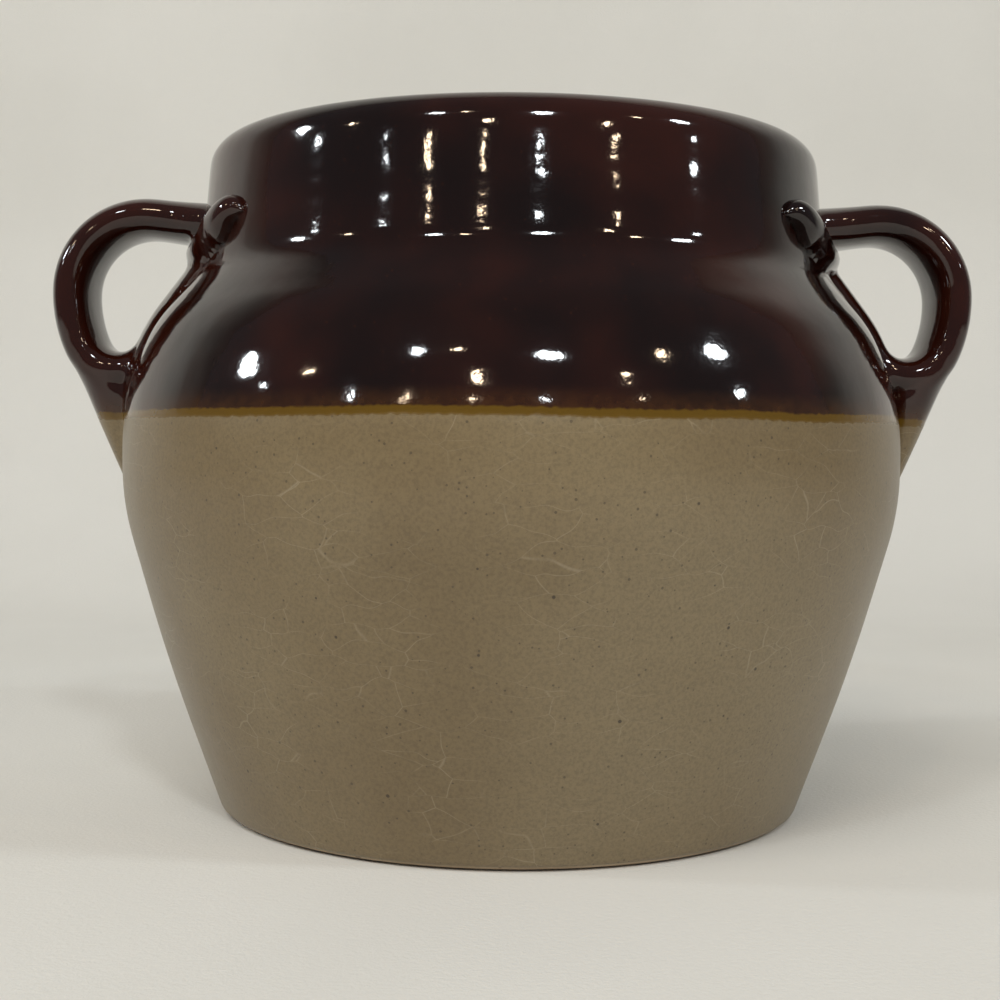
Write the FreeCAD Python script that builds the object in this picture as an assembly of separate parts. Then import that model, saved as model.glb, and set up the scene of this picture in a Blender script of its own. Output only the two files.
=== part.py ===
import FreeCAD, Part
import math
import os

# Two-handled stoneware bean pot, about two quarts, in millimetres.
# The origin is the centre of the base, +Z is up and +X points at the right handle.
# The wall was thrown or jiggered as one round piece. The two loop handles were pressed
# separately and luted on with slip, so the pot is a body, two handles and two slip joints.

# Body, outside: each stretch stands on the one below it
FOOT_RADIUS = 66.0
FOOT_EDGE = 1.5
WALL_BEND_HEIGHT = 33.5
WALL_BULGE = 1.26
WALL_BEND_ROUND = 420.0
BELLY_RADIUS = 87.5
BELLY_LOW = 68.7
BELLY_BAND = 22.3
BELLY_LOW_ROUND = 60.0
BELLY_HIGH_ROUND = 55.0
SHOULDER_STEP = 6.5
SHOULDER_RISE = 16.5
SHOULDER_ROUND = 30.0
NECK_STEP = 10.4
NECK_RISE = 12.5
NECK_ROUND = 9.0
COLLAR_HEIGHT = 29.0
COLLAR_TAPER = 2.5
RIM_ROUND = 6.4
BELLY_HIGH = BELLY_LOW + BELLY_BAND
SHOULDER_RADIUS = BELLY_RADIUS - SHOULDER_STEP
SHOULDER_HEIGHT = BELLY_HIGH + SHOULDER_RISE
NECK_RADIUS = SHOULDER_RADIUS - NECK_STEP
NECK_HEIGHT = SHOULDER_HEIGHT + NECK_RISE
RIM_RADIUS = NECK_RADIUS - COLLAR_TAPER
POT_HEIGHT = NECK_HEIGHT + COLLAR_HEIGHT

# Body, inside
WALL = 6.5
FLOOR = 7.5
FLOOR_ROUND = 14.0
RIM_THICKNESS = 8.6
RIM_INNER_BEVEL = 1.6
GALLERY_DEPTH = 8.0
GALLERY_WIDTH = 4.5
GALLERY_LIP = 4.6
GALLERY_RELIEF = 8.5

# Foot: a plain ring round a shallow recess
FOOT_RING = 9.0
FOOT_RECESS = 1.6
FOOT_RECESS_SLOPE = 2.4

# Handles: one bar bent into a loop, with a tail down the belly and a pad against the wall
GRIP_THICKNESS = 9.0
GRIP_WIDTH = 21.0
HANDLE_REACH = 17.3
HANDLE_RISE = 17.5
HANDLE_ROOT_SLOPE = 6.5
HANDLE_STRAIGHT = 0.2
HANDLE_LEAN = 23.6
HANDLE_TOP_ROUND = 17.2
HANDLE_SIDE_ROUND = 30.0
TAIL_DROP = 10.9
TAIL_END_WIDTH = 5.0
TAIL_TAPER = 1.4
TAIL_ROOT_DEPTH = 3.25
TAIL_END_DEPTH = 1.6
TAIL_SECTIONS = 5
TAIL_INSET = 0.7
TAIL_BURIED = 0.8
PAD_THICKNESS = 3.2
PAD_WIDTH = 25.0
PAD_ROUND = 7.0
WING_SPREAD = 85.0
WING_HEIGHT = 10.4
WING_RISE = 3.4
WING_PROUD = 4.4
WING_LOWER_FLAT = 0.6
WING_WAIST = 56.0

# Slip that holds each handle: a thin layer that is squeezed out a little all round
SLIP_THICKNESS = 0.5
SLIP_BEAD = 0.9
SLIP_CLEARANCE = 0.02

ORIGIN = FreeCAD.Vector(0, 0, 0)
UP = FreeCAD.Vector(0, 0, 1)
ACROSS = FreeCAD.Vector(0, 1, 0)


def at(x, z, y=0.0):
    """A point of the drawing plane, x outwards and z up."""
    return FreeCAD.Vector(x, y, z)


def unit(start, end):
    """The direction from one corner to another."""
    return at(end[0] - start[0], end[1] - start[1]).normalize()


def crossing(point_a, direction_a, point_b, direction_b):
    """Where two lines of the drawing plane meet."""
    span = point_b - point_a
    turn = direction_a.x * direction_b.z - direction_a.z * direction_b.x
    return point_a + direction_a * ((span.x * direction_b.z - span.z * direction_b.x) / turn)


def rounded_wire(corners, closed=True):
    """A wire through corners (x, z, radius), straight between them and a tangent arc at each."""
    count = len(corners)
    edges = []
    last_end = None
    first_start = None
    for index, (x, z, radius) in enumerate(corners):
        here = at(x, z)
        is_end = not closed and index in (0, count - 1)
        if radius == 0 or is_end:
            arc_start = arc_end = here
        else:
            before = unit(corners[index], corners[index - 1])
            after = unit(corners[index], corners[(index + 1) % count])
            half_angle = before.getAngle(after) / 2
            reach = radius / math.tan(half_angle)
            middle = (before + after).normalize() * (radius / math.sin(half_angle) - radius)
            arc_start = here + before * reach
            arc_end = here + after * reach
        if last_end is None:
            first_start = arc_start
        elif last_end.distanceToPoint(arc_start) > 1e-6:
            edges.append(Part.LineSegment(last_end, arc_start).toShape())
        if arc_start is not arc_end:
            edges.append(Part.Arc(arc_start, here + middle, arc_end).toShape())
        last_end = arc_end
    if closed:
        edges.append(Part.LineSegment(last_end, first_start).toShape())
    return Part.Wire(edges)


def parallel_corners(corners, distance):
    """The same open run of corners moved outwards by distance, with its rounds grown to match."""
    moved = []
    sides = list(zip(corners, corners[1:]))
    for index, (x, z, radius) in enumerate(corners):
        before = sides[max(index - 1, 0)]
        after = sides[min(index, len(sides) - 1)]
        direction_a = unit(before[0], before[1])
        direction_b = unit(after[0], after[1])
        outward_a = at(direction_a.z, -direction_a.x)
        outward_b = at(direction_b.z, -direction_b.x)
        if before is after:
            place = at(x, z) + outward_a * distance
            bend = 0.0
        else:
            place = crossing(
                at(x, z) + outward_a * distance, direction_a,
                at(x, z) + outward_b * distance, direction_b,
            )
            bend = direction_a.x * direction_b.z - direction_a.z * direction_b.x
        grown = radius + distance if bend > 0 else radius - distance
        moved.append((place.x, place.z, grown if radius else 0))
    return moved


def revolved(corners):
    """A solid of revolution about the pot's axis."""
    return Part.Face(rounded_wire(corners)).revolve(ORIGIN, UP, 360)


def belly_lean():
    """How far the lower wall leans outwards, in radians."""
    return math.atan((BELLY_RADIUS - FOOT_RADIUS) / (BELLY_LOW - FOOT_EDGE))


def wall_corners():
    """The outside of the wall, from the foot's edge up to the rim."""
    rise = WALL_BEND_HEIGHT - FOOT_EDGE
    bend_radius = FOOT_RADIUS + rise * math.tan(belly_lean()) + WALL_BULGE
    return [
        (FOOT_RADIUS, FOOT_EDGE, 0),
        (bend_radius, WALL_BEND_HEIGHT, WALL_BEND_ROUND),
        (BELLY_RADIUS, BELLY_LOW, BELLY_LOW_ROUND),
        (BELLY_RADIUS, BELLY_HIGH, BELLY_HIGH_ROUND),
        (SHOULDER_RADIUS, SHOULDER_HEIGHT, SHOULDER_ROUND),
        (NECK_RADIUS, NECK_HEIGHT, NECK_ROUND),
        (RIM_RADIUS, POT_HEIGHT, RIM_ROUND),
    ]


def inside_corners():
    """The inside, from the floor's centre up over the lid gallery to the rim."""
    lining = parallel_corners(wall_corners(), -WALL)
    low, bend = lining[0], lining[1]
    lean = (bend[0] - low[0]) / (bend[1] - low[1])
    floor_edge = low[0] + (FLOOR - low[1]) * lean
    neck, rim = lining[-2], lining[-1]
    gallery_radius = RIM_RADIUS - RIM_THICKNESS
    gallery_floor = POT_HEIGHT - GALLERY_DEPTH
    throat = gallery_radius - GALLERY_WIDTH
    relief_height = gallery_floor - GALLERY_LIP - GALLERY_RELIEF
    neck_lean = (rim[0] - neck[0]) / (rim[1] - neck[1])
    relief_radius = neck[0] + (relief_height - neck[1]) * neck_lean
    return [
        (0, FLOOR, 0),
        (floor_edge, FLOOR, FLOOR_ROUND),
        *lining[1:-1],
        (relief_radius, relief_height, 0),
        (throat, gallery_floor - GALLERY_LIP, 0),
        (throat, gallery_floor, 0),
        (gallery_radius, gallery_floor, 0),
        (gallery_radius, POT_HEIGHT - RIM_INNER_BEVEL, 0),
        (gallery_radius + RIM_INNER_BEVEL, POT_HEIGHT, 0),
    ]


def foot_corners():
    """The underside, from the foot's edge in to the centre of the recess."""
    edge = FOOT_RADIUS - FOOT_EDGE
    ring_inside = edge - FOOT_RING
    return [
        (edge, 0, 0),
        (ring_inside, 0, 0),
        (ring_inside - FOOT_RECESS_SLOPE, FOOT_RECESS, 0),
        (0, FOOT_RECESS, 0),
    ]


def pot_body():
    """The round pot: wall, floor, foot ring, neck, rim and the gallery a lid sits on."""
    outside = list(reversed(wall_corners()))
    return revolved(inside_corners() + outside + foot_corners())


def wall_envelope(distance):
    """The pot filled solid and grown by distance, which shapes what sits against the wall."""
    side = parallel_corners(wall_corners(), distance)
    top = (0, side[-1][1], 0)
    return revolved(side[:-1] + [(side[-1][0], side[-1][1], 0), top, (0, side[0][1], 0)])


def bar_line():
    """The middle line of the handle's bar, from the neck round the heel and up the shoulder."""
    half = GRIP_THICKNESS / 2
    outer = BELLY_RADIUS + HANDLE_REACH - half
    rise = math.radians(HANDLE_ROOT_SLOPE)
    lean = math.radians(HANDLE_LEAN)
    crown = NECK_HEIGHT + HANDLE_RISE - half
    root_x = NECK_RADIUS - WALL / 2
    # The bar's crown is where the top bend runs level.
    bend_x = outer - HANDLE_TOP_ROUND
    line_at_bend = crown - HANDLE_TOP_ROUND + HANDLE_TOP_ROUND / math.cos(rise)
    top_corner = (outer, line_at_bend + HANDLE_TOP_ROUND * math.tan(rise))
    root = (root_x, line_at_bend - (bend_x - root_x) * math.tan(rise))
    bend_end = top_corner[1] - HANDLE_TOP_ROUND * math.tan(math.pi / 4 + rise / 2)
    side_corner = (outer, bend_end - HANDLE_STRAIGHT - HANDLE_SIDE_ROUND * math.tan(lean / 2))
    down = at(-math.sin(lean), -math.cos(lean))
    pad_line = parallel_corners(wall_corners(), PAD_THICKNESS - half)
    low, high = pad_line[3], pad_line[4]
    heel = crossing(at(*side_corner), down, at(low[0], low[1]), unit(low, high))
    # The heel bend takes up what the side bend leaves of the bar's lower side.
    lower_side = math.hypot(side_corner[0] - heel.x, side_corner[1] - heel.z)
    heel_reach = lower_side - HANDLE_SIDE_ROUND * math.tan(lean / 2) - HANDLE_STRAIGHT
    heel_half = (at(*side_corner) - heel).getAngle(at(*high[:2]) - heel) / 2
    root_end = NECK_HEIGHT + WALL / 2
    return [
        (*root, 0),
        (*top_corner, HANDLE_TOP_ROUND),
        (*side_corner, HANDLE_SIDE_ROUND),
        (heel.x, heel.z, heel_reach * math.tan(heel_half)),
        (high[0], high[1], SHOULDER_ROUND),
        (root_x, root_end, 0),
    ]


def oval_section(centre, forward, thickness, width):
    """An oval wire across the line that runs forward from centre, wide along Y."""
    narrow = forward.cross(ACROSS).normalize()
    turn = FreeCAD.Rotation(ACROSS, narrow, forward, "ZXY")
    circle = Part.Wire([Part.Circle().toShape()])
    stretch = FreeCAD.Matrix()
    stretch.scale(width / 2, thickness / 2, 1)
    oval = circle.transformGeometry(stretch)
    oval.Placement = FreeCAD.Placement(centre, turn)
    return oval


def grip(extra):
    """The rounded bar, swept round its line."""
    corners = bar_line()
    line = rounded_wire(corners, closed=False)
    start = at(corners[0][0], corners[0][1])
    section = oval_section(
        start, unit(corners[0], corners[1]), GRIP_THICKNESS + 2 * extra, GRIP_WIDTH + 2 * extra
    )
    return line.makePipeShell([section], True, False)


def tail(extra):
    """The end of the bar, thumbed down the belly to a point."""
    corners = bar_line()
    side_x, side_z = corners[2][0], corners[2][1]
    heel_z, heel_round = corners[3][1], corners[3][2]
    lean = math.radians(HANDLE_LEAN)
    half = GRIP_THICKNESS / 2 / math.cos(lean)
    before = unit(corners[3], corners[2])
    after = unit(corners[3], corners[4])
    half_angle = before.getAngle(after) / 2
    top = heel_z + heel_round / math.sin(half_angle) - heel_round
    # The tail's outer line runs from the bar's into the wall.
    end = BELLY_LOW - TAIL_DROP
    flare = math.tan(belly_lean())
    top_outside = side_x + half - (side_z - top) * math.tan(lean) - TAIL_INSET
    end_outside = BELLY_RADIUS - TAIL_DROP * flare - TAIL_BURIED
    sections = []
    for step in range(TAIL_SECTIONS):
        share = step / (TAIL_SECTIONS - 1)
        height = top + (end - top) * share
        outside = top_outside + (end_outside - top_outside) * share + extra
        inside = min(BELLY_RADIUS - (BELLY_LOW - height) * flare, BELLY_RADIUS)
        inside = inside - TAIL_ROOT_DEPTH - TAIL_END_DEPTH * share
        width = GRIP_WIDTH + (TAIL_END_WIDTH - GRIP_WIDTH) * share ** TAIL_TAPER + 2 * extra
        centre = at((outside + inside) / 2, height)
        sections.append(oval_section(centre, UP, outside - inside, width))
    return Part.makeLoft(sections, True, False)


def pad(extra):
    """The flat back of the handle that lies on the shoulder and spreads below the neck."""
    half = PAD_WIDTH / 2 + extra
    waist = WING_WAIST / 2 + extra
    tip = WING_SPREAD / 2 + extra
    top = NECK_HEIGHT + WING_RISE + WING_HEIGHT / 2 + extra
    bottom = NECK_HEIGHT + WING_RISE - WING_HEIGHT / 2 - extra
    side = [
        (tip, top, WING_HEIGHT / 2 + extra),
        (tip, bottom, WING_HEIGHT / 2 + extra - WING_LOWER_FLAT),
        (waist, bottom - extra, PAD_ROUND),
        (half, SHOULDER_HEIGHT, PAD_ROUND),
        (half - GRIP_THICKNESS / 4, BELLY_HIGH, PAD_ROUND),
        (TAIL_END_WIDTH / 2 + extra, BELLY_LOW + extra, TAIL_END_WIDTH / 2),
    ]
    outline = side + [(-y, z, radius) for y, z, radius in reversed(side)]
    face = Part.Face(rounded_wire(outline))
    face.rotate(ORIGIN, UP, 90)
    prism = face.extrude(at(POT_HEIGHT, 0))
    return prism.common(wall_envelope(PAD_THICKNESS + extra))


def wing(extra):
    """The rounded roll that hugs the neck on both sides of the handle's root."""
    thick = WING_HEIGHT / 2 + extra
    middle = NECK_RADIUS + WING_PROUD - WING_HEIGHT / 2
    height = NECK_HEIGHT + WING_RISE
    reach = math.asin((WING_SPREAD / 2 - WING_HEIGHT / 2) / middle)
    centre = at(middle, height)
    ring = Part.Face(Part.Wire(Part.Circle(centre, ACROSS, thick).toShape()))
    ring.rotate(ORIGIN, UP, -math.degrees(reach))
    roll = ring.revolve(ORIGIN, UP, 2 * math.degrees(reach))
    for side in (-1, 1):
        end = at(middle * math.cos(reach), height, side * middle * math.sin(reach))
        roll = roll.fuse(Part.makeSphere(thick, end))
    return roll


def handle_form(extra=0.0):
    """One whole handle, its back still buried in the wall, grown by extra."""
    form = grip(extra)
    for piece in (tail(extra), pad(extra), wing(extra)):
        form = form.fuse(piece)
    return form.removeSplitter()


def right_handle():
    """The handle's clay, shaped to the wall it seats on with room for the slip."""
    return handle_form().cut(wall_envelope(SLIP_THICKNESS + SLIP_CLEARANCE))


def right_slip_joint():
    """The layer of slip between the handle and the wall, wider than the handle's back."""
    layer = wall_envelope(SLIP_THICKNESS).cut(wall_envelope(SLIP_CLEARANCE))
    return handle_form(SLIP_BEAD).common(layer)


def largest_solid(shape):
    """The one solid of a shape, without crumbs that a cut may leave."""
    return max(shape.Solids, key=lambda solid: solid.Volume)


def main():
    """Build every piece and write one STEP file for each."""
    handle = largest_solid(right_handle())
    slip = largest_solid(right_slip_joint())
    pieces = {"pot_body": largest_solid(pot_body())}
    for side, turn in (("right", 0), ("left", 180)):
        for name, shape in (("handle", handle), ("slip_joint", slip)):
            copy = shape.copy()
            copy.rotate(ORIGIN, UP, turn)
            pieces[f"{side}_{name}"] = copy
    os.makedirs("parts", exist_ok=True)
    for name, shape in pieces.items():
        shape.exportStep(f"parts/{name}.step")
        box = shape.BoundBox
        print(name, "valid", shape.isValid(), "volume", round(shape.Volume),
              "x", round(box.XMin, 1), round(box.XMax, 1),
              "y", round(box.YMin, 1), round(box.YMax, 1),
              "z", round(box.ZMin, 1), round(box.ZMax, 1))


main()
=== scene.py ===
"""Looks of a two-handled stoneware bean pot in two glazes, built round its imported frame."""

import logging
import math
from dataclasses import dataclass, field
from enum import Enum

import bpy
from mathutils import Euler, Matrix, Vector


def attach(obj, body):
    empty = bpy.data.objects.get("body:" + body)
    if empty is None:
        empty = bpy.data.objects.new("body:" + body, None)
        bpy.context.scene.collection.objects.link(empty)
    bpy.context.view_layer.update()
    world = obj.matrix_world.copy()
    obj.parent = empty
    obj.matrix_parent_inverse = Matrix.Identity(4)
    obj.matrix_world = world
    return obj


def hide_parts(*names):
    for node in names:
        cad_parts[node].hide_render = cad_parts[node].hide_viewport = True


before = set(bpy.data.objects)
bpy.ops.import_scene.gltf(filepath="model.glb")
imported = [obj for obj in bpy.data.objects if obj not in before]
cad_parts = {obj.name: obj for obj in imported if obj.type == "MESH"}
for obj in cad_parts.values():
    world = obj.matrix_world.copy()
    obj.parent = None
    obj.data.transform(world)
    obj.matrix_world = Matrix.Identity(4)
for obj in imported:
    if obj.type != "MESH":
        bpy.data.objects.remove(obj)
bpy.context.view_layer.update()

MM = 0.001

logging.basicConfig(level=logging.INFO, format="%(message)s")
log = logging.getLogger("bean_pot")


class Side(Enum):
    """Which handle: the name of its CAD nodes and its turn about the pot's axis."""

    RIGHT = ("right", 0.0)
    LEFT = ("left", math.pi)


def smooth_step(value: float, low: float, high: float) -> float:
    """Ease from 0 at low to 1 at high.

    Args:
        value: Where to read the ease.
        low: The value that gives 0.
        high: The value that gives 1.

    Returns:
        A number from 0 to 1.
    """
    share = min(1.0, max(0.0, (value - low) / (high - low)))
    return share * share * (3.0 - 2.0 * share)


def deselect_all() -> None:
    if bpy.context.mode != "OBJECT":
        bpy.ops.object.mode_set(mode="OBJECT")
    bpy.ops.object.select_all(action="DESELECT")


def make_active(piece: bpy.types.Object) -> None:
    """Select one piece alone and make it active."""
    deselect_all()
    piece.select_set(True)
    bpy.context.view_layer.objects.active = piece


def apply_modifier(piece: bpy.types.Object, kind: str, **settings) -> None:
    """Add a modifier, set it and apply it to the mesh.

    Args:
        piece: The object to change.
        kind: Blender's name for the modifier type.
        settings: Values to set on the modifier.
    """
    make_active(piece)
    modifier = piece.modifiers.new(kind.lower(), kind)
    for name, value in settings.items():
        setattr(modifier, name, value)
    bpy.ops.object.modifier_apply(modifier=modifier.name)


@dataclass(frozen=True)
class Corner:
    """One corner of an outline in the plane of x outwards and z up, in millimetres."""

    x: float
    z: float
    round: float = 0.0


@dataclass
class Outline:
    """A run of corners joined by straight lines and tangent arcs.

    The arcs are walked in even steps, so that the points follow the clay's real curve.
    """

    corners: list[Corner]
    step: float = 1.5

    def points(self) -> list[Vector]:
        """Walk the outline.

        Returns:
            Points from the first corner to the last, in millimetres.
        """
        walked: list[Vector] = []
        last = len(self.corners) - 1
        for index, corner in enumerate(self.corners):
            here = Vector((corner.x, 0.0, corner.z))
            if index in (0, last) or corner.round == 0.0:
                self._line_to(walked, here)
                continue
            before = (self._place(index - 1) - here).normalized()
            after = (self._place(index + 1) - here).normalized()
            half = before.angle(after) / 2.0
            reach = corner.round / math.tan(half)
            centre = here + (before + after).normalized() * (corner.round / math.sin(half))
            start = here + before * reach - centre
            end = here + after * reach - centre
            turn = start.angle(end)
            if start.x * end.z - start.z * end.x > 0.0:
                turn = -turn
            count = max(3, round(abs(turn) * corner.round / self.step))
            self._line_to(walked, centre + start)
            for number in range(1, count + 1):
                part_turn = Matrix.Rotation(turn * number / count, 3, "Y")
                walked.append(centre + part_turn @ start)
        return walked

    def _place(self, index: int) -> Vector:
        """The corner with that index as a vector."""
        return Vector((self.corners[index].x, 0.0, self.corners[index].z))

    def _line_to(self, walked: list[Vector], end: Vector) -> None:
        """Add a straight run up to a point.

        Args:
            walked: The points so far.
            end: Where the run ends.
        """
        if walked:
            start = walked[-1]
            count = max(1, round((end - start).length / (self.step * 2.5)))
            walked.extend(start.lerp(end, number / count) for number in range(1, count))
        walked.append(end)


@dataclass
class WallForm:
    """The pot's round wall, outside and inside, as the maker would draw it, in millimetres."""

    height: float = 149.0
    neck: float = 70.6
    wall: float = 6.5
    outside: list[Corner] = field(default_factory=lambda: [
        Corner(64.5, 0.02),
        Corner(66.0, 1.5, 1.6),
        Corner(77.5, 33.5, 420.0),
        Corner(87.5, 68.7, 60.0),
        Corner(87.5, 91.0, 55.0),
        Corner(81.0, 107.5, 30.0),
        Corner(70.6, 120.0, 9.0),
        Corner(68.1, 149.0, 6.4),
        Corner(59.5, 149.0, 2.1),
        Corner(59.5, 141.0, 1.2),
        Corner(55.0, 141.0, 1.6),
        Corner(55.0, 136.4, 1.6),
        Corner(63.3, 127.9, 5.0),
        Corner(64.3, 117.8, 15.5),
        Corner(75.6, 104.2, 23.5),
        Corner(81.0, 90.6, 48.5),
        Corner(81.0, 69.6, 53.5),
        Corner(71.2, 35.6, 413.0),
        Corner(61.4, 7.5, 14.0),
        Corner(2.0, 7.5),
    ])
    under: list[Corner] = field(default_factory=lambda: [
        Corner(64.5, 0.02),
        Corner(55.5, 0.02, 1.2),
        Corner(53.1, 1.6, 1.2),
        Corner(2.0, 1.6),
    ])
    step: float = 1.6

    def outer_points(self) -> list[Vector]:
        """The outside from the foot to the rim's crest."""
        points = Outline(self.outside, self.step).points()
        crest = max(range(len(points)), key=lambda index: points[index].z)
        return points[: crest + 1]

    def radius_at(self, height: float) -> float:
        """The outside radius at a height.

        Args:
            height: Height above the table, in millimetres.

        Returns:
            The radius in millimetres.
        """
        if not hasattr(self, "_run"):
            self._run = [point for point in self.outer_points() if point.z < 143.0]
        run = self._run
        for low, high in zip(run, run[1:]):
            if low.z <= height <= high.z and high.z > low.z:
                share = (height - low.z) / (high.z - low.z)
                return low.x + (high.x - low.x) * share
        return run[-1].x if height > run[-1].z else run[0].x

    def off_wall(self, point: Vector) -> tuple[float, Vector]:
        """How far a point stands off the outside of the wall.

        Args:
            point: A place in millimetres.

        Returns:
            The distance, negative inside the clay, and the wall's outward normal there.
        """
        reach = math.hypot(point.x, point.y)
        slope = self.radius_at(point.z + 0.5) - self.radius_at(point.z - 0.5)
        tilt = math.hypot(1.0, slope)
        normal = Vector((point.x / reach, point.y / reach, -slope)) / tilt
        return (reach - self.radius_at(point.z)) / tilt, normal


class GlazeZone(Enum):
    """The surfaces of the pot that get a finish of their own."""

    OUTSIDE = 0
    INSIDE = 1
    FOOT = 2


@dataclass
class PotBody:
    """The round pot, turned ring by ring like clay on a wheel."""

    form: WallForm
    segments: int = 96
    smoothing: int = 1
    floor_level: float = 5.0
    rim_split: float = 62.0
    foot_level: float = 1.7
    foot_reach: float = 65.6
    crest_depth: float = 0.4
    wall_share: float = 0.6
    ring_weight: float = 5.998

    def build(self) -> bpy.types.Object:
        """Make the wall, floor and foot as one closed mesh.

        Returns:
            The finished piece, in metres.
        """
        rings = Outline(self.form.outside, self.form.step).points()
        under = Outline(self.form.under, self.form.step).points()[1:]
        # The control rings of a subdivided circle are a little wide of the curve they give. Their
        # weight is just under 6, so that the curve stays inside the CAD's box.
        swell = self.ring_weight / (4.0 + 2.0 * math.cos(2.0 * math.pi / self.segments))
        piece = self._turn(rings, swell)
        piece.name = "pot_wall"
        self._extrude_run(piece, [rings[0], *under])
        self._close_centres(piece)
        make_active(piece)
        bpy.ops.object.mode_set(mode="EDIT")
        bpy.ops.mesh.select_all(action="SELECT")
        bpy.ops.mesh.remove_doubles(threshold=0.00001)
        bpy.ops.mesh.normals_make_consistent(inside=False)
        bpy.ops.object.mode_set(mode="OBJECT")
        self._mark_zones(piece)
        apply_modifier(piece, "SUBSURF", levels=self.smoothing, render_levels=self.smoothing)
        make_active(piece)
        bpy.ops.object.shade_smooth()
        return piece

    def _turn(self, rings: list[Vector], swell: float) -> bpy.types.Object:
        """Start at the foot's edge and extrude a ring to each point of the outline."""
        deselect_all()
        start = rings[0]
        bpy.ops.mesh.primitive_circle_add(
            vertices=self.segments, radius=start.x * swell * MM, location=(0, 0, start.z * MM)
        )
        piece = bpy.context.active_object
        bpy.ops.object.transform_apply(location=True, rotation=True, scale=True)
        bpy.ops.object.mode_set(mode="EDIT")
        bpy.ops.mesh.select_all(action="SELECT")
        self._rings(rings)
        return piece

    def _extrude_run(self, piece: bpy.types.Object, rings: list[Vector]) -> None:
        """Pick the first ring again and extrude the underside from it."""
        make_active(piece)
        for index, vertex in enumerate(piece.data.vertices):
            vertex.select = index < self.segments
        for edge in piece.data.edges:
            edge.select = all(vertex < self.segments for vertex in edge.vertices)
        bpy.ops.object.mode_set(mode="EDIT")
        self._rings(rings)

    def _rings(self, rings: list[Vector]) -> None:
        """Extrude the selected ring through each point in turn, then leave edit mode."""
        for before, after in zip(rings, rings[1:]):
            bpy.ops.mesh.extrude_region_move(
                TRANSFORM_OT_translate={"value": (0, 0, (after.z - before.z) * MM)}
            )
            ratio = after.x / before.x
            bpy.ops.transform.resize(value=(ratio, ratio, 1.0), center_override=(0, 0, 0))
        bpy.ops.object.mode_set(mode="OBJECT")

    def _close_centres(self, piece: bpy.types.Object) -> None:
        """Fill the small rings in the middle of the floor and of the underside."""
        make_active(piece)
        bpy.ops.object.mode_set(mode="EDIT")
        bpy.ops.mesh.select_all(action="DESELECT")
        bpy.ops.mesh.select_mode(type="EDGE")
        bpy.ops.mesh.select_non_manifold()
        bpy.ops.mesh.edge_face_add()
        bpy.ops.object.mode_set(mode="OBJECT")

    def _mark_zones(self, piece: bpy.types.Object) -> None:
        """Give each face the slot of its zone: outside, inside or bare foot."""
        crest = self.form.height - self.crest_depth
        for face in piece.data.polygons:
            centre = face.center / MM
            reach = math.hypot(centre.x, centre.y)
            in_wall = reach < self.form.radius_at(centre.z) - self.wall_share * self.form.wall
            over_rim = centre.z >= crest and reach < self.rim_split
            if over_rim or (in_wall and self.floor_level < centre.z < crest):
                face.material_index = GlazeZone.INSIDE.value
            elif centre.z < self.foot_level and reach < self.foot_reach:
                face.material_index = GlazeZone.FOOT.value
            else:
                face.material_index = GlazeZone.OUTSIDE.value


@dataclass(frozen=True)
class BarForm:
    """The bent bar: its section and how it swells at its root, in millimetres."""

    thickness: float = 9.0
    width: float = 21.5
    root_reach: float = 17.0
    root_widen: float = 0.34
    root_thicken: float = 0.10
    squareness: float = 2.6


@dataclass(frozen=True)
class TailForm:
    """The tail thumbed down the belly, in millimetres, with heights above the table."""

    top: float = 104.0
    end: float = 62.0
    narrow_from: float = 101.0
    narrow_to: float = 56.0
    narrow_share: float = 0.80
    narrow_power: float = 1.2
    join_low: float = 93.5
    join_high: float = 99.0
    root: float = 3.0
    overlap: float = 1.0
    step_in: float = 0.4
    least_depth: float = 0.3


@dataclass(frozen=True)
class WingForm:
    """The roll of clay round the neck, in millimetres; its lobes by shares of half its length."""

    height: float = 123.4
    reach_degrees: float = 36.5
    radius: float = 3.9
    proud: float = 3.3
    cap_from: float = 0.88
    cap_length: float = 0.12
    cap_depth: float = 0.98
    lobe_from: float = 0.50
    lobe_full: float = 0.90
    slim: float = 0.80
    lobe_fill: float = 0.20
    lobe_tall: float = 0.30
    lobe_rise: float = 4.6
    lobe_splay: float = 0.035


@dataclass(frozen=True)
class PadForm:
    """The pad between handle and wall, in millimetres, with heights above the table."""

    top: float = 128.0
    bottom: float = 64.0
    strap: float = 6.0
    strap_gain: float = 6.8
    strap_full: float = 96.0
    shoulder_gain: float = 19.0
    shoulder_low: float = 103.0
    shoulder_high: float = 127.0
    proud: float = 2.4
    fade: float = 2.2
    fade_low: float = 82.0
    fade_high: float = 98.0
    crown: float = 1.25
    edge_drop: float = 1.05
    edge_power: float = 2.5
    plate_span: float = 54.0
    plate_low: float = 55.0
    plate_high: float = 136.0


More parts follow.
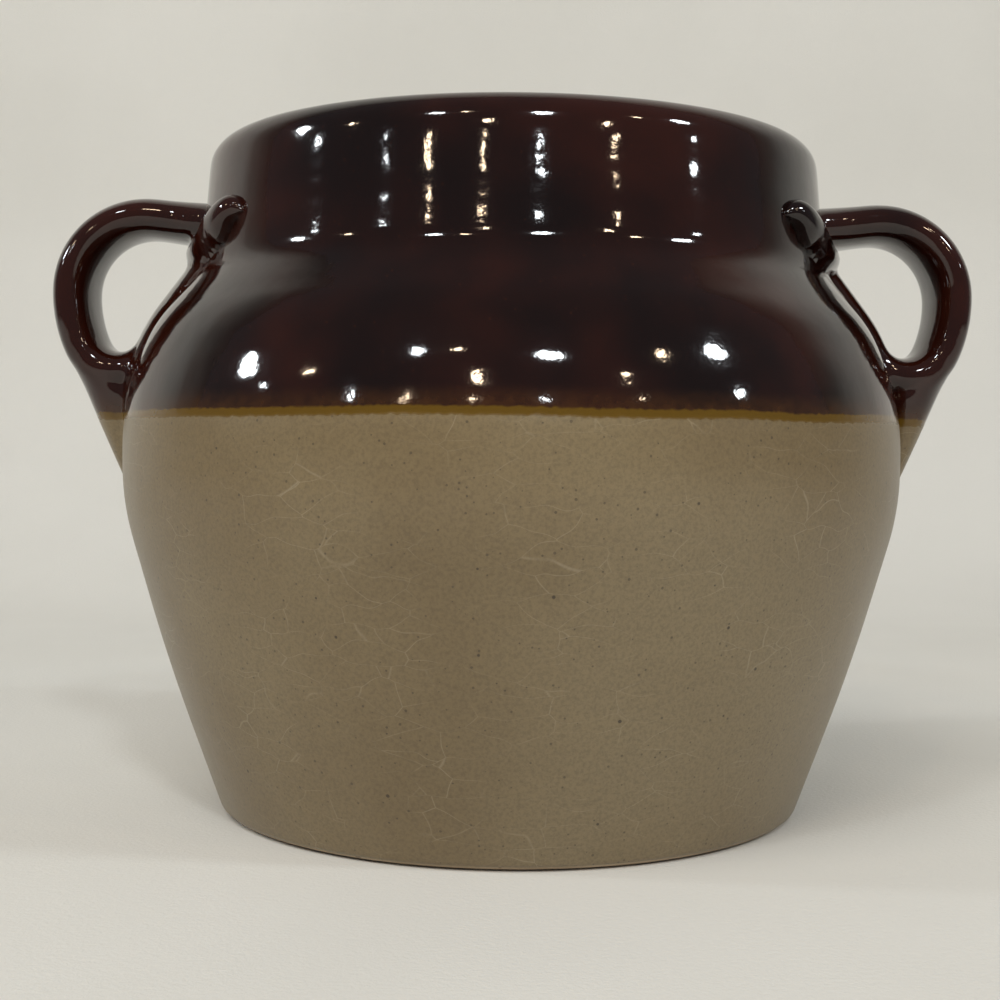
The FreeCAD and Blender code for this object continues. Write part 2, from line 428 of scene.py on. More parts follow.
@dataclass
class HandleForm:
    """One pressed handle: loop, heel, tail, pad and wings, on the right side, in millimetres."""

    wall: WallForm
    line: list[Corner] = field(default_factory=lambda: [
        Corner(65.0, 131.0),
        Corner(100.3, 135.1, 17.2),
        Corner(100.3, 109.3, 30.0),
        Corner(89.0, 83.6, 9.0),
        Corner(79.9, 106.8, 30.0),
        Corner(67.4, 123.2),
    ])
    lean: float = math.tan(math.radians(23.6))
    bar: BarForm = BarForm()
    tail: TailForm = TailForm()
    wing: WingForm = WingForm()
    pad: PadForm = PadForm()
    blend: float = 6.0
    voxel: float = 0.62
    soften: int = 14
    dive: float = 0.35
    dive_from: float = 0.05
    dive_to: float = 0.6
    slip_bead: float = 1.6
    slip_proud: float = 0.45

    def build(self, side: Side) -> bpy.types.Object:
        """Make one handle as a single closed mesh that flows into the wall.

        Args:
            side: Which handle to make.

        Returns:
            The finished piece, in metres.
        """
        parts = [self._bar(), self._tail(), self._wing()]
        parts.append(self._plate(grow=0.0, low=-1.2, high=self.pad.proud))
        parts.append(self._plate(grow=self.blend, low=-3.4, high=0.0))
        deselect_all()
        for part in parts:
            part.select_set(True)
        bpy.context.view_layer.objects.active = parts[0]
        bpy.ops.object.join()
        piece = bpy.context.active_object
        piece.name = f"{side.value[0]}_handle_loop"
        apply_modifier(piece, "REMESH", mode="VOXEL", voxel_size=self.voxel, use_smooth_shade=True)
        apply_modifier(piece, "SMOOTH", factor=0.5, iterations=self.soften)
        self._dive_under_glaze(piece)
        self._turn_to(piece, side)
        return piece

    def build_slip(self, side: Side) -> bpy.types.Object:
        """Make the smoothed fillet of slip that is squeezed out round one handle's back.

        Args:
            side: Which handle it belongs to.

        Returns:
            The finished piece, in metres.
        """
        piece = self._plate(grow=self.slip_bead, low=-0.9, high=self.slip_proud)
        piece.name = f"{side.value[0]}_slip_fillet"
        apply_modifier(piece, "SMOOTH", factor=0.5, iterations=3)
        self._dive_under_glaze(piece)
        self._turn_to(piece, side)
        return piece

    def _turn_to(self, piece: bpy.types.Object, side: Side) -> None:
        """Turn a finished piece to its side and bring it to metres."""
        turn = Matrix.Rotation(side.value[1], 4, "Z")
        piece.data.transform(Matrix.Scale(MM, 4) @ turn)
        make_active(piece)
        bpy.ops.object.shade_smooth()

    def _blank(self, radius: float, length: float, sides: int, cuts: int) -> bpy.types.Object:
        """A straight closed rod along Z, cut into rings, ready to be bent in code."""
        deselect_all()
        bpy.ops.mesh.primitive_cylinder_add(
            vertices=sides, radius=radius, depth=length, location=(0, 0, length / 2.0)
        )
        rod = bpy.context.active_object
        bpy.ops.object.transform_apply(location=True, rotation=True, scale=True)
        bpy.ops.object.mode_set(mode="EDIT")
        for number in range(1, cuts):
            bpy.ops.mesh.select_all(action="SELECT")
            bpy.ops.mesh.bisect(plane_co=(0, 0, length * number / cuts), plane_no=(0, 0, 1))
        bpy.ops.object.mode_set(mode="OBJECT")
        return rod

    def _bar(self) -> bpy.types.Object:
        """The rounded bar bent round its line."""
        run = Outline(self.line, 1.5).points()
        marks = [0.0]
        for before, after in zip(run, run[1:]):
            marks.append(marks[-1] + (after - before).length)
        rod = self._blank(radius=1.0, length=marks[-1], sides=28, cuts=70)
        power = self.bar.squareness
        for vertex in rod.data.vertices:
            along = min(max(vertex.co.z, 0.0), marks[-1] - 1e-6)
            index = max(i for i, mark in enumerate(marks[:-1]) if mark <= along)
            start, end = run[index], run[index + 1]
            share = (along - marks[index]) / (marks[index + 1] - marks[index])
            forward = self._heading(run, index).lerp(self._heading(run, index + 1), share)
            forward.normalize()
            inward = Vector((-forward.z, 0.0, forward.x))
            root = 1.0 - smooth_step(along, 0.0, self.bar.root_reach)
            half_width = self.bar.width / 2.0 * (1.0 + self.bar.root_widen * root * root)
            half_thick = self.bar.thickness / 2.0 * (1.0 + self.bar.root_thicken * root)
            # A slightly squared oval: fuller at the shoulders than an ellipse.
            bulge = (abs(vertex.co.x) ** power + abs(vertex.co.y) ** power) ** (1.0 / power)
            across = vertex.co.y / bulge if bulge else 0.0
            deep = vertex.co.x / bulge if bulge else 0.0
            place = start.lerp(end, share) + inward * (deep * half_thick)
            vertex.co = Vector((place.x, across * half_width, place.z))
        return rod

    def _heading(self, run: list[Vector], index: int) -> Vector:
        """The direction of the line at one of its points."""
        before = run[max(index - 1, 0)]
        after = run[min(index + 1, len(run) - 1)]
        return (after - before).normalized()

    def _tail(self) -> bpy.types.Object:
        """The end of the bar, thumbed down the belly and narrowing to a point."""
        form = self.tail
        length = form.top - form.end
        rod = self._blank(radius=1.0, length=length, sides=28, cuts=24)
        side = self.line[2]
        for vertex in rod.data.vertices:
            height = form.top - vertex.co.z
            outer = side.x + self.bar.thickness / 2.0 / math.cos(math.atan(self.lean))
            outer -= (side.z - height) * self.lean + form.step_in
            inner = self.wall.radius_at(height) - form.root
            under_bar = outer - self.bar.thickness + form.overlap
            inner += (under_bar - inner) * smooth_step(height, form.join_low, form.join_high)
            narrow = smooth_step(height, form.narrow_from, form.narrow_to) ** form.narrow_power
            half_width = self.bar.width / 2.0 * (1.0 - form.narrow_share * narrow)
            middle = (outer + inner) / 2.0
            deep = max(form.least_depth, (outer - inner) / 2.0)
            vertex.co = Vector((middle + vertex.co.x * deep, vertex.co.y * half_width, height))
        return rod

    def _wing(self) -> bpy.types.Object:
        """The roll of clay that hugs the neck on both sides and ends in two lobes."""
        form = self.wing
        rod = self._blank(radius=1.0, length=1.0, sides=24, cuts=60)
        for vertex in rod.data.vertices:
            share = vertex.co.z * 2.0 - 1.0
            end = abs(share)
            turn = math.radians(form.reach_degrees) * share
            past = max(0.0, (end - form.cap_from) / form.cap_length)
            cap = math.sqrt(1.0 - form.cap_depth * past ** 2)
            lobe = smooth_step(end, form.lobe_from, form.lobe_full)
            fill = form.slim + form.lobe_fill * lobe
            radius = form.radius * cap * fill
            middle = self.wall.neck + form.proud - form.radius * fill
            reach = middle + vertex.co.x * radius
            tall = 1.0 + form.lobe_tall * lobe
            height = form.height + vertex.co.y * radius * tall + form.lobe_rise * lobe
            turn += share * vertex.co.y * lobe * form.lobe_splay
            vertex.co = Vector((reach * math.cos(turn), reach * math.sin(turn), height))
        return rod

    def _half_width(self, height: float, grow: float) -> float:
        """Half the width of the pad at a height, or less than nothing above and below it."""
        pad = self.pad
        top, bottom = pad.top + grow, pad.bottom - grow
        if not bottom < height < top:
            return -1.0
        strap = pad.strap + pad.strap_gain * smooth_step(height, bottom, pad.strap_full)
        shoulder = pad.shoulder_gain * smooth_step(height, pad.shoulder_low, pad.shoulder_high)
        return strap + shoulder + grow

    def _plate(self, grow: float, low: float, high: float) -> bpy.types.Object:
        """A plate of the pad's outline that lies on the curve of the wall.

        Args:
            grow: How much wider than the pad, in millimetres.
            low: Its back, as a distance off the wall.
            high: Its face, as a distance off the wall.

        Returns:
            The plate, closed.
        """
        pad = self.pad
        deselect_all()
        bpy.ops.mesh.primitive_grid_add(x_subdivisions=90, y_subdivisions=76, size=2.0)
        plate = bpy.context.active_object
        for vertex in plate.data.vertices:
            height = pad.plate_low + (vertex.co.y + 1.0) / 2.0 * (pad.plate_high - pad.plate_low)
            vertex.co = Vector((low, vertex.co.x * pad.plate_span, height))
        for face in plate.data.polygons:
            centre = face.center
            face.select = abs(centre.y) > self._half_width(centre.z, grow)
        bpy.ops.object.mode_set(mode="EDIT")
        bpy.ops.mesh.select_mode(type="FACE")
        bpy.ops.mesh.delete(type="FACE")
        bpy.ops.mesh.select_all(action="SELECT")
        bpy.ops.mesh.extrude_region_move(TRANSFORM_OT_translate={"value": (high - low, 0, 0)})
        bpy.ops.mesh.select_all(action="SELECT")
        bpy.ops.mesh.normals_make_consistent(inside=False)
        bpy.ops.object.mode_set(mode="OBJECT")
        for vertex in plate.data.vertices:
            off, across, height = vertex.co
            off -= pad.fade * (1.0 - smooth_step(height, pad.fade_low, pad.fade_high))
            if off > 0.0:
                edge = min(1.0, abs(across) / max(1.0, self._half_width(height, grow)))
                off *= pad.crown - pad.edge_drop * edge ** pad.edge_power
            turn = across / self.wall.neck
            place = Vector((math.cos(turn), math.sin(turn), height))
            radius = self.wall.radius_at(height)
            slope = self.wall.radius_at(height + 0.5) - self.wall.radius_at(height - 0.5)
            reach = radius + off / math.hypot(1.0, slope)
            rise = -slope * off / math.hypot(1.0, slope)
            vertex.co = Vector((place.x * reach, place.y * reach, height + rise))
        return plate

    def _dive_under_glaze(self, piece: bpy.types.Object) -> None:
        """Push what lies level with the wall just under it, so that one skin shows."""
        for vertex in piece.data.vertices:
            off, normal = self.wall.off_wall(vertex.co)
            if off < self.dive_to:
                under = 1.0 - smooth_step(off, self.dive_from, self.dive_to)
                vertex.co -= normal * self.dive * under


class NodeBench:
    """A node tree with short calls to add, set and join its nodes."""

    def __init__(self, tree: bpy.types.NodeTree) -> None:
        """Keep the tree.

        Args:
            tree: The material's or the group's node tree.
        """
        self.tree = tree

    def add(self, kind: str, **settings) -> bpy.types.Node:
        """Add a node and set values on it.

        Args:
            kind: Blender's name for the node type.
            settings: Values to set on the node itself.

        Returns:
            The node.
        """
        node = self.tree.nodes.new(kind)
        for name, value in settings.items():
            setattr(node, name, value)
        return node

    def join(self, source: object, target: object) -> None:
        """Link an output to an input."""
        self.tree.links.new(source, target)

    def feed(self, target: object, value: object) -> None:
        """Give an input either a link or a plain value."""
        if isinstance(value, bpy.types.NodeSocket):
            self.join(value, target)
        else:
            target.default_value = value

    def math(self, operation: str, first: object, second: object = 0.0) -> object:
        """A math node's result."""
        node = self.add("ShaderNodeMath", operation=operation)
        self.feed(node.inputs[0], first)
        self.feed(node.inputs[1], second)
        return node.outputs[0]

    def mix(self, share: object, first: object, second: object) -> object:
        """A colour between two colours."""
        node = self.add("ShaderNodeMix", data_type="RGBA")
        self.feed(node.inputs[0], share)
        self.feed(node.inputs[6], first)
        self.feed(node.inputs[7], second)
        return node.outputs[2]

    def ramp(self, value: object, low: float, high: float, start: float = 0.0,
             end: float = 1.0) -> object:
        """A number eased from start to end while value goes from low to high."""
        node = self.add("ShaderNodeMapRange", interpolation_type="SMOOTHSTEP")
        self.feed(node.inputs["Value"], value)
        node.inputs["From Min"].default_value = low
        node.inputs["From Max"].default_value = high
        node.inputs["To Min"].default_value = start
        node.inputs["To Max"].default_value = end
        return node.outputs["Result"]

    def noise(self, vector: object, scale: float, detail: float = 2.0,
              rough: float = 0.5) -> object:
        """A noise value from 0 to 1 at a scale in turns per metre."""
        node = self.add("ShaderNodeTexNoise")
        self.feed(node.inputs["Vector"], vector)
        node.inputs["Scale"].default_value = scale
        node.inputs["Detail"].default_value = detail
        node.inputs["Roughness"].default_value = rough
        return node.outputs["Fac"]

    def sway(self, vector: object, scale: float, detail: float, span: float) -> object:
        """A noise that swings a whole span, half of it each way round 0."""
        centred = self.math("SUBTRACT", self.noise(vector, scale, detail), 0.5)
        return self.math("MULTIPLY", centred, span)

    def bump(self, height: object, strength: float, distance: float,
             shader: bpy.types.Node) -> None:
        """Bend a shader's normal by a height."""
        node = self.add("ShaderNodeBump")
        node.inputs["Strength"].default_value = strength
        node.inputs["Distance"].default_value = distance
        self.join(height, node.inputs["Height"])
        self.join(node.outputs[0], shader.inputs["Normal"])


def new_material(name: str) -> tuple:
    """Start a material.

    Args:
        name: The material's name.

    Returns:
        The material, its bench, its shader and the place on the piece as a link.
    """
    material = bpy.data.materials.new(name)
    material.use_nodes = True
    bench = NodeBench(material.node_tree)
    shader = bench.tree.nodes["Principled BSDF"]
    return material, bench, shader, bench.add("ShaderNodeTexCoord").outputs["Object"]


def new_group(name: str, inputs: dict[str, tuple], outputs: dict[str, str]) -> tuple:
    """Start a shader node group.

    Args:
        name: The group's name.
        inputs: Each input's name, with its socket type and starting value.
        outputs: Each output's name and socket type.

    Returns:
        The group's bench, its input node and its output node.
    """
    tree = bpy.data.node_groups.new(name, "ShaderNodeTree")
    for label, (kind, value) in inputs.items():
        socket = tree.interface.new_socket(name=label, in_out="INPUT", socket_type=kind)
        if value is not None:
            socket.default_value = value
    for label, kind in outputs.items():
        tree.interface.new_socket(name=label, in_out="OUTPUT", socket_type=kind)
    bench = NodeBench(tree)
    return bench, bench.add("NodeGroupInput"), bench.add("NodeGroupOutput")


FLOAT, VECTOR = "NodeSocketFloat", "NodeSocketVector"
GLAZE_IOR = 1.54
RIPPLE_DEPTH = 0.00035
RUST = (0.095, 0.030, 0.012, 1)


class SpeckGroup:
    """Small round specks scattered through a glaze."""

    def __init__(self) -> None:
        """Build the group once."""
        bench, given, result = new_group(
            "iron_specks",
            {"Place": (VECTOR, None), "Density": (FLOAT, 300.0), "Size": (FLOAT, 0.2),
             "Share": (FLOAT, 0.3)},
            {"Mask": FLOAT},
        )
        cells = bench.add("ShaderNodeTexVoronoi", feature="F1")
        bench.join(given.outputs["Place"], cells.inputs["Vector"])
        bench.join(given.outputs["Density"], cells.inputs["Scale"])
        shade = bench.add("ShaderNodeSeparateColor")
        bench.join(cells.outputs["Color"], shade.inputs["Color"])
        chosen = bench.math("LESS_THAN", shade.outputs["Red"], given.outputs["Share"])
        size = bench.math("MULTIPLY", given.outputs["Size"],
                          bench.math("ADD", shade.outputs["Green"], 0.35))
        inside = bench.math("SUBTRACT", size, cells.outputs["Distance"])
        soft = bench.ramp(inside, 0.0, 0.06)
        bench.join(bench.math("MULTIPLY", soft, chosen), result.inputs["Mask"])
        self.tree = bench.tree


class CrazingGroup:
    """Fine wavy cracks in a glaze, longer along the pot's round than up it."""

    def __init__(self) -> None:
        """Build the group once."""
        bench, given, result = new_group(
            "crazing",
            {"Place": (VECTOR, None), "Spacing": (FLOAT, 300.0), "Width": (FLOAT, 0.03)},
            {"Mask": FLOAT},
        )
        bend = bench.add("ShaderNodeTexNoise")
        bench.join(given.outputs["Place"], bend.inputs["Vector"])
        bend.inputs["Scale"].default_value = 110.0
        bend.inputs["Detail"].default_value = 1.0
        shift = bench.add("ShaderNodeVectorMath", operation="SCALE")
        bench.join(bend.outputs["Color"], shift.inputs[0])
        shift.inputs["Scale"].default_value = 0.0042
        moved = bench.add("ShaderNodeVectorMath", operation="ADD")
        bench.join(given.outputs["Place"], moved.inputs[0])
        bench.join(shift.outputs[0], moved.inputs[1])
        flat = bench.add("ShaderNodeMapping")
        flat.inputs["Scale"].default_value = (0.40, 0.40, 1.0)
        bench.join(moved.outputs[0], flat.inputs["Vector"])
        cells = bench.add("ShaderNodeTexVoronoi", feature="DISTANCE_TO_EDGE")
        bench.join(flat.outputs[0], cells.inputs["Vector"])
        bench.join(given.outputs["Spacing"], cells.inputs["Scale"])
        near = bench.math("SUBTRACT", given.outputs["Width"], cells.outputs["Distance"])
        line = bench.ramp(near, 0.0, 0.02)
        fade = bench.ramp(bench.noise(given.outputs["Place"], 60.0, 3.0, 0.6), 0.40, 0.66)
        bench.join(bench.math("MULTIPLY", line, fade), result.inputs["Mask"])
        self.tree = bench.tree


class RippleGroup:
    """The slight orange-peel and drag of a melted glaze, as a height."""

    def __init__(self) -> None:
        """Build the group once."""
        bench, given, result = new_group(
            "glaze_ripple", {"Place": (VECTOR, None), "Fine": (FLOAT, 0.3)}, {"Height": FLOAT}
        )
        broad = bench.noise(given.outputs["Place"], 95.0, 1.0)
        peel = bench.noise(given.outputs["Place"], 620.0, 2.0, 0.55)
        fine = bench.math("MULTIPLY", peel, given.outputs["Fine"])
        flat = bench.add("ShaderNodeMapping")
        flat.inputs["Scale"].default_value = (0.12, 0.12, 1.0)
        bench.join(given.outputs["Place"], flat.inputs["Vector"])
        rings = bench.math("MULTIPLY", bench.noise(flat.outputs[0], 130.0, 1.0), 1.9)
        waves = bench.math("ADD", broad, rings)
        bench.join(bench.math("ADD", waves, fine), result.inputs["Height"])
        self.tree = bench.tree


@dataclass(frozen=True)
class TwoGlaze:
    """The outside: dark glossy glaze over tan glaze, with an ochre seam where they meet."""

    name: str = "two_glaze_stoneware"
    seam_height: float = 0.0884
    seam_depth: float = 0.0015
    dark: tuple = (0.0260, 0.0052, 0.0026, 1)
    dark_deep: tuple = (0.0055, 0.0016, 0.0012, 1)
    ochre: tuple = (0.115, 0.062, 0.005, 1)
    tan: tuple = (0.212, 0.158, 0.082, 1)
    tan_warm: tuple = (0.178, 0.127, 0.062, 1)
    tan_grey: tuple = (0.235, 0.185, 0.108, 1)
    speck: tuple = (0.035, 0.024, 0.015, 1)
    craze: tuple = (0.36, 0.30, 0.20, 1)
    broken: tuple = (0.060, 0.023, 0.006, 1)
    scatters: tuple = ((820.0, 0.20, 0.30, 0.55), (300.0, 0.11, 0.26, 0.85))

    def build(self, groups: "GlazeGroups") -> bpy.types.Material:
        """Make the material.

        Args:
            groups: The shared effects.

        Returns:
            The material.
        """
        material, bench, shader, place = new_material(self.name)
        height = bench.add("ShaderNodeSeparateXYZ")
        bench.join(place, height.inputs[0])
        rise = bench.sway(place, 26.0, 2.0, 0.0014)
        tooth = bench.sway(place, 700.0, 1.0, 0.0007)
        level = bench.math("ADD", height.outputs["Z"], bench.math("ADD", rise, tooth))
        above = bench.math("SUBTRACT", level, self.seam_height)
        dark_mask = bench.ramp(above, -0.0001, 0.0004)
        seam_mask = bench.ramp(above, -self.seam_depth - 0.0003, -self.seam_depth + 0.0004)
        dark = self._dark_colour(bench, groups, place, above)
        tan = self._tan_colour(bench, groups, place)
        lower = bench.mix(seam_mask, tan, self.ochre)
        bench.join(bench.mix(dark_mask, lower, dark), shader.inputs["Base Color"])
        rough = bench.ramp(above, -0.0022, 0.0002, 0.33, 0.055)
        bench.join(rough, shader.inputs["Roughness"])
        self._surface(bench, groups, place, above, shader)
        return material

    def _dark_colour(self, bench: NodeBench, groups: "GlazeGroups", place: object,
                     above: object) -> object:
        """Red-brown glaze that breaks to near black, with rusty flecks near the seam."""
        cloud = bench.ramp(bench.noise(place, 21.0, 3.0, 0.55), 0.35, 0.68)
        mottled = bench.mix(cloud, self.dark_deep, self.dark)
        rusty = groups.rust(bench, place, mottled)
        edge = bench.ramp(above, 0.0, 0.0045, 1.0, 0.0)
        breaking = bench.math("MULTIPLY", edge, bench.noise(place, 420.0, 2.0, 0.6))
        return bench.mix(breaking, rusty, self.broken)

    def _tan_colour(self, bench: NodeBench, groups: "GlazeGroups", place: object) -> object:
        """Tan glaze: soft clouds, pale crazing and dark iron specks in two sizes."""
        cloud = bench.ramp(bench.noise(place, 17.0, 4.0, 0.55), 0.36, 0.66)
        base = bench.mix(cloud, self.tan_warm, self.tan)
        patch = bench.ramp(bench.noise(place, 8.0, 2.0), 0.48, 0.75)
        base = bench.mix(bench.math("MULTIPLY", patch, 0.6), base, self.tan_grey)
        grain = bench.noise(place, 1500.0, 2.0, 0.7)
        base = bench.mix(bench.ramp(grain, 0.35, 0.75, 0.0, 0.30), base, self.speck)
        craze = groups.place(bench, groups.crazing, Place=place, Spacing=230.0, Width=0.019)
        base = bench.mix(bench.math("MULTIPLY", craze.outputs["Mask"], 0.42), base, self.craze)
        for scatter in self.scatters:
            base = groups.speckle(bench, place, base, self.speck, *scatter)
        return base

    def _surface(self, bench: NodeBench, groups: "GlazeGroups", place: object, above: object,
                 shader: bpy.types.Node) -> None:
        """Join the ripple of the melted glaze to the shader's normal."""
        ripple = groups.place(bench, groups.ripple, Place=place, Fine=0.16)
        step = bench.ramp(above, -0.0012, 0.0004, 0.0, 0.9)
        height = bench.math("ADD", ripple.outputs["Height"], step)
        bench.bump(height, 0.32, RIPPLE_DEPTH, shader)
        shader.inputs["IOR"].default_value = GLAZE_IOR


@dataclass(frozen=True)
class InnerGlaze:
    """The inside: the same dark glaze all over."""

    name: str = "inner_glaze"
    dark: tuple = (0.028, 0.0062, 0.0036, 1)
    deep: tuple = (0.009, 0.0027, 0.002, 1)

    def build(self, groups: "GlazeGroups") -> bpy.types.Material:
        """Make the material.

        Args:
            groups: The shared effects.

        Returns:
            The material.
        """
        material, bench, shader, place = new_material(self.name)
        cloud = bench.ramp(bench.noise(place, 24.0, 3.0, 0.55), 0.35, 0.68)
        colour = groups.rust(bench, place, bench.mix(cloud, self.deep, self.dark))
        bench.join(colour, shader.inputs["Base Color"])
        ripple = groups.place(bench, groups.ripple, Place=place, Fine=0.16)
        bench.bump(ripple.outputs["Height"], 0.2, RIPPLE_DEPTH, shader)
        bench.join(bench.ramp(cloud, 0.0, 1.0, 0.06, 0.09), shader.inputs["Roughness"])
        shader.inputs["IOR"].default_value = GLAZE_IOR
        return material


@dataclass(frozen=True)
class BareClay:
    """The wiped foot: dry buff clay, a little gritty."""

    name: str = "bare_clay"
    clay: tuple = (0.46, 0.36, 0.25, 1)
    clay_dark: tuple = (0.33, 0.245, 0.16, 1)
    speck: tuple = (0.09, 0.06, 0.04, 1)

    def build(self, groups: "GlazeGroups") -> bpy.types.Material:
        """Make the material.

        Args:
            groups: The shared effects.

        Returns:
            The material.
        """
        material, bench, shader, place = new_material(self.name)
        grit = bench.noise(place, 900.0, 4.0, 0.7)
        colour = bench.mix(bench.ramp(bench.noise(place, 40.0, 4.0), 0.3, 0.7), self.clay_dark,
                           self.clay)
        colour = groups.speckle(bench, place, colour, self.speck, 500.0, 0.26, 0.2, 0.6)
        bench.join(colour, shader.inputs["Base Color"])
        bench.join(bench.ramp(grit, 0.2, 0.8, 0.72, 0.92), shader.inputs["Roughness"])
        bench.bump(grit, 0.5, 0.0003, shader)
        return material


class GlazeGroups:
    """The shared effects, each built once."""

    def __init__(self) -> None:
        """Build the node groups."""
        self.specks = SpeckGroup().tree
        self.crazing = CrazingGroup().tree
        self.ripple = RippleGroup().tree

    def place(self, bench: NodeBench, group: bpy.types.NodeTree, **values) -> bpy.types.Node:
        """Put a group in a material with its own values.

        Args:
            bench: The material's bench.
            group: The group to use.
            values: What each named input gets, a link or a number.

        Returns:
            The group's node.
        """
        node = bench.add("ShaderNodeGroup", node_tree=group)
        for name, value in values.items():
            bench.feed(node.inputs[name], value)
        return node

    def speckle(self, bench: NodeBench, place: object, base: object, tint: tuple, density: float,
                size: float, share: float, strength: float) -> object:
        """Scatter specks of one colour over another.

        Args:
            bench: The material's bench.
            place: The place on the piece.
            base: The colour under the specks.
            tint: The specks' own colour.
            density: Cells in a metre.
            size: The largest speck, as a share of its cell.
            share: How many of the cells hold a speck.
            strength: How fully a speck covers.

        Returns:
            The speckled colour.
        """
        specks = self.place(bench, self.specks, Place=place, Density=density, Size=size,
                            Share=share)
        return bench.mix(bench.math("MULTIPLY", specks.outputs["Mask"], strength), base, tint)

    def rust(self, bench: NodeBench, place: object, base: object) -> object:
        """The faint rusty flecks of the dark glaze."""
        return self.speckle(bench, place, base, RUST, 1100.0, 0.24, 0.10, 0.16)


AIM_HEIGHT = 0.09


@dataclass(frozen=True)
class RoomLamp:
    """One small lamp of the room, by its direction from the pot.

    The azimuth is in degrees from the front towards the right, the elevation in degrees up.
    """

    azimuth: float
    elevation: float
    size: float
    warm: bool = False
    distance: float = 1.7

    def place(self) -> Vector:
        """Where the lamp hangs, in metres."""
        turn, lift = math.radians(self.azimuth), math.radians(self.elevation)
        level = self.distance * math.cos(lift)
        height = AIM_HEIGHT + self.distance * math.sin(lift)
        return Vector((level * math.sin(turn), -level * math.cos(turn), height))


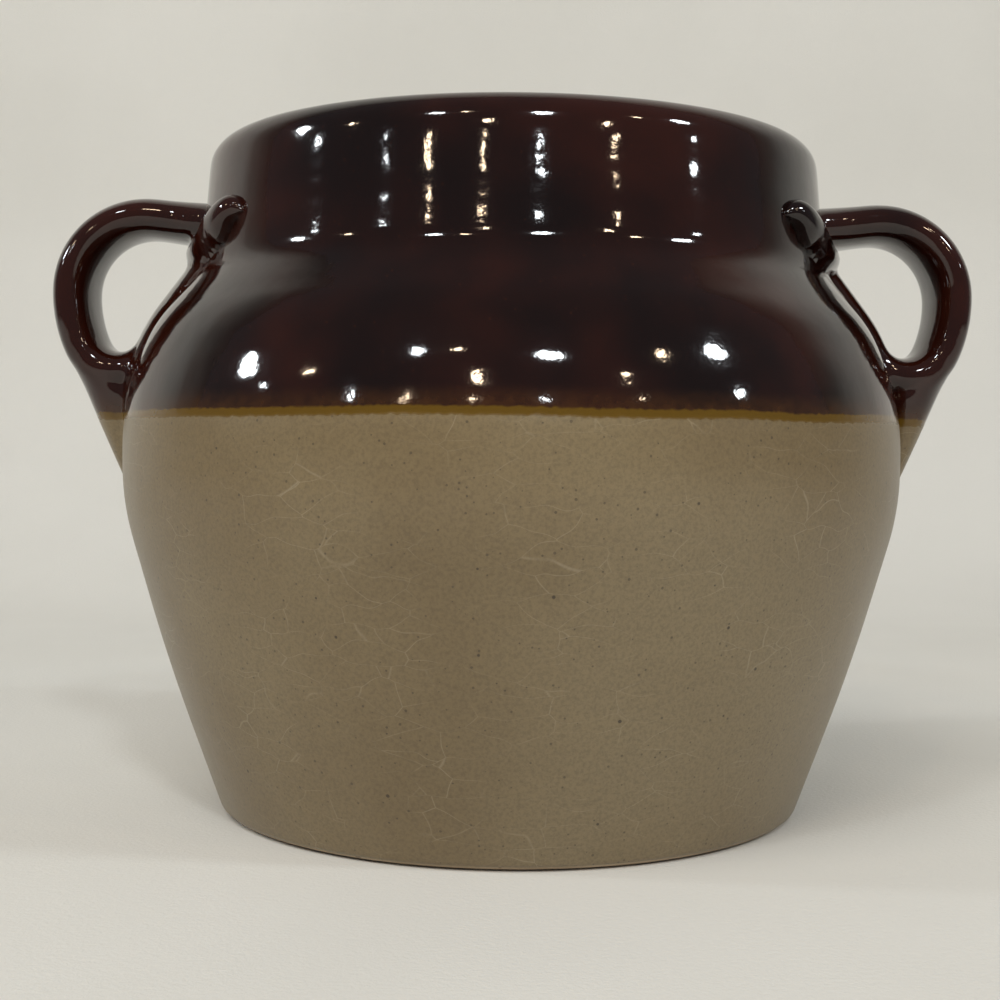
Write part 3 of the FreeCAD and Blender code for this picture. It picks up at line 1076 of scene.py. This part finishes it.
@dataclass
class Studio:
    """The plain pale floor and backdrop, the lamps and the camera."""

    lens: float = 56.1
    eye: Vector = field(default_factory=lambda: Vector((-0.0024, -0.3613, 0.0818)))
    pitch: float = 2.0
    roll: float = 0.5
    floor_colour: tuple = (0.68, 0.665, 0.62, 1)
    floor_shade: tuple = (0.64, 0.625, 0.58, 1)
    floor_size: float = 7.0
    backdrop_rise: float = 3.0
    backdrop_back: float = 0.62
    backdrop_round: float = 0.25
    lamps: list[RoomLamp] = field(default_factory=lambda: [
        RoomLamp(-84.0, 25.0, 0.17), RoomLamp(-62.0, 27.0, 0.07, True),
        RoomLamp(-31.0, 39.0, 0.13), RoomLamp(-18.0, 41.0, 0.08, True),
        RoomLamp(-10.0, 28.0, 0.07, True), RoomLamp(11.0, 38.0, 0.19),
        RoomLamp(33.0, 27.0, 0.07, True), RoomLamp(48.0, 36.0, 0.08, True),
        RoomLamp(66.0, 34.0, 0.19), RoomLamp(-75.0, 20.3, 0.055),
        RoomLamp(-46.0, 20.8, 0.04), RoomLamp(-30.0, 20.3, 0.04, True),
        RoomLamp(-11.0, 20.7, 0.04, True), RoomLamp(9.0, 20.9, 0.06),
        RoomLamp(36.0, 20.4, 0.04, True), RoomLamp(67.0, 20.7, 0.065),
    ])
    lamp_power: float = 150.0
    warm_tint: tuple = (1.0, 0.76, 0.52)
    cool_tint: tuple = (0.90, 0.96, 1.0)
    broad_place: Vector = field(default_factory=lambda: Vector((-0.5, -1.2, 1.9)))
    broad_size: float = 1.4
    broad_power: float = 21.0
    broad_tint: tuple = (1.0, 0.97, 0.92)
    room_colour: tuple = (0.80, 0.84, 0.90, 1)
    room_strength: float = 0.17

    def build(self) -> None:
        """Make the camera, stage and lights."""
        self._camera()
        self._stage()
        self._lights()

    def _camera(self) -> None:
        """A lens just below the glaze seam, tipped down and turned a touch."""
        deselect_all()
        bpy.ops.object.camera_add(location=self.eye)
        camera = bpy.context.active_object
        camera.name = "camera"
        camera.data.lens = self.lens
        camera.data.sensor_width = 36.0
        camera.data.clip_start = 0.01
        tilt = Euler((math.radians(90.0 - self.pitch), 0.0, 0.0)).to_matrix()
        level = tilt @ Matrix.Rotation(math.radians(self.roll), 3, "Z")
        camera.rotation_euler = level.to_euler()
        bpy.context.scene.camera = camera

    def _stage(self) -> None:
        """A floor that sweeps up into the backdrop, like a roll of pale cloth."""
        deselect_all()
        bpy.ops.mesh.primitive_plane_add(size=self.floor_size, location=(0, 0, 0))
        sweep = bpy.context.active_object
        sweep.name = "sweep"
        bpy.ops.object.transform_apply(location=True)
        bpy.ops.object.mode_set(mode="EDIT")
        bpy.ops.mesh.select_all(action="DESELECT")
        bpy.ops.object.mode_set(mode="OBJECT")
        for edge in sweep.data.edges:
            edge.select = all(sweep.data.vertices[v].co.y > 1.0 for v in edge.vertices)
        bpy.ops.object.mode_set(mode="EDIT")
        bpy.ops.mesh.select_mode(type="EDGE")
        up = (0, 0, self.backdrop_rise)
        bpy.ops.mesh.extrude_region_move(TRANSFORM_OT_translate={"value": up})
        bpy.ops.object.mode_set(mode="OBJECT")
        for vertex in sweep.data.vertices:
            if vertex.co.y > 1.0:
                vertex.co.y = self.backdrop_back
        apply_modifier(sweep, "BEVEL", width=self.backdrop_round, segments=16, limit_method="ANGLE")
        make_active(sweep)
        bpy.ops.object.shade_smooth()
        sweep.data.materials.append(self._cloth())

    def _cloth(self) -> bpy.types.Material:
        """Pale plain cloth with a faint weave."""
        material, bench, shader, place = new_material("pale_cloth")
        cloud = bench.noise(place, 6.0, 3.0)
        thread = bench.noise(place, 900.0, 2.0, 0.6)
        colour = bench.mix(bench.ramp(cloud, 0.3, 0.7), self.floor_shade, self.floor_colour)
        bench.join(colour, shader.inputs["Base Color"])
        bench.bump(thread, 0.25, 0.0006, shader)
        shader.inputs["Roughness"].default_value = 0.9
        return material

    def _lights(self) -> None:
        """A soft even room, a row of small ceiling lamps and one broad lamp."""
        world = bpy.data.worlds.new("room")
        bpy.context.scene.world = world
        world.use_nodes = True
        light = world.node_tree.nodes["Background"]
        light.inputs["Color"].default_value = self.room_colour
        light.inputs["Strength"].default_value = self.room_strength
        for number, lamp in enumerate(self.lamps):
            tint = self.warm_tint if lamp.warm else self.cool_tint
            power = self.lamp_power * lamp.size ** 2
            self._lamp(f"room_{number}", lamp.place(), lamp.size, power, tint)
        broad = self._lamp("broad", self.broad_place, self.broad_size, self.broad_power,
                           self.broad_tint)
        broad.visible_glossy = False

    def _lamp(self, name: str, place: Vector, size: float, power: float,
              tint: tuple) -> bpy.types.Object:
        """Add one area lamp that points at the pot."""
        deselect_all()
        bpy.ops.object.light_add(type="AREA", location=place)
        lamp = bpy.context.active_object
        lamp.name = name
        lamp.data.shape = "DISK"
        lamp.data.size = size
        lamp.data.energy = power
        lamp.data.color = tint
        aim = Vector((0.0, 0.0, AIM_HEIGHT)) - place
        lamp.rotation_euler = aim.to_track_quat("-Z", "Y").to_euler()
        return lamp


class BeanPotScene:
    """The whole picture, piece by piece."""

    def __init__(self) -> None:
        """Prepare the forms and finishes."""
        self.wall = WallForm()
        self.groups = GlazeGroups()
        self.outside = TwoGlaze().build(self.groups)
        self.inside = InnerGlaze().build(self.groups)
        self.clay = BareClay().build(self.groups)

    def build(self) -> None:
        """Make every piece and report it."""
        Studio().build()
        log.info("studio: camera, sweep and lamps")
        pot = PotBody(self.wall).build()
        for material in (self.outside, self.inside, self.clay):
            pot.data.materials.append(material)
        self._finish_piece(pot, "glazed_stoneware", "pot_body")
        for side in Side:
            handle = HandleForm(self.wall).build(side)
            handle.data.materials.clear()
            handle.data.materials.append(self.outside)
            name = side.value[0]
            self._finish_piece(handle, "glazed_stoneware", f"{name}_handle")
            fillet = HandleForm(self.wall).build_slip(side)
            fillet.data.materials.clear()
            fillet.data.materials.append(self.outside)
            self._finish_piece(fillet, "joining_slip", f"{name}_slip_joint")

    def _finish_piece(self, piece: bpy.types.Object, slot: str, *nodes: str) -> None:
        """Ride the root body and stand for the CAD nodes."""
        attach(piece, "root")
        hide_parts(*nodes)
        log.info("%s: %d faces, stands for %s", piece.name, len(piece.data.polygons), nodes)


def main() -> None:
    """Build the picture."""
    BeanPotScene().build()
    bpy.context.scene.view_settings.view_transform = "Standard"


if __name__ == "__main__":
    main()
